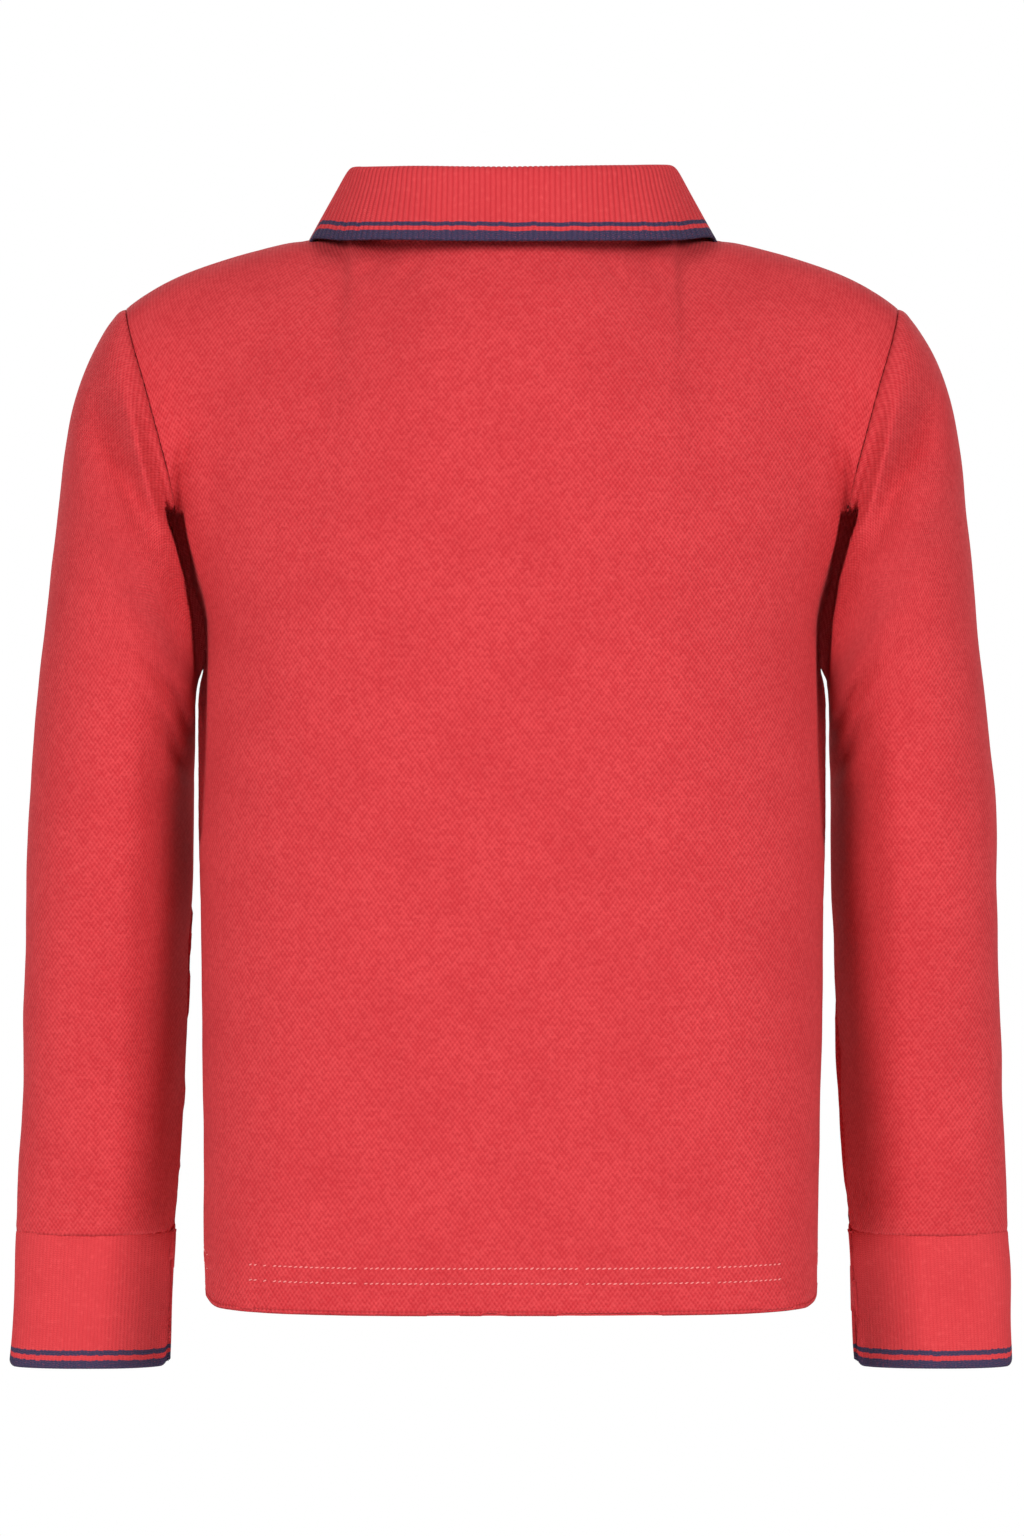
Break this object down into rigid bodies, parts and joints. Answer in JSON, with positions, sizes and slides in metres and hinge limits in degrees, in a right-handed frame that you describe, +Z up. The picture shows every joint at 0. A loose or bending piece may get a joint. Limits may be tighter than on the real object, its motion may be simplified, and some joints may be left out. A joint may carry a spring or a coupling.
{
  "type": "long-sleeve polo shirt",
  "caption": "Child's long-sleeve polo shirt in textured knit, filled out and hollow, with a folded rib collar, rib cuffs with contrast tipping and a buttoned placket.",
  "frame": {"origin": "where the wearer's shoulders carry the shirt: middle of the neck, level with the top of the shoulder seams", "axes": "+Z up, -Y the wearer's front, +X the wearer's left"},
  "size_m": [0.4254, 0.1705, 0.5074],
  "materials": {
    "pique": "red cotton pique, matt",
    "rib": "red flat-knit rib with dark blue tipping, matt",
    "button": "red, half gloss"
  },
  "bodies": {
    "root": {"back": "pique", "front": "pique", "sleeve_left": "pique", "sleeve_right": "pique", "collar": "rib", "cuff_left": "rib", "cuff_right": "rib", "placket_top": "pique", "placket_under": "pique", "button_1": "button", "button_2": "button"}
  },
  "joints": []
}
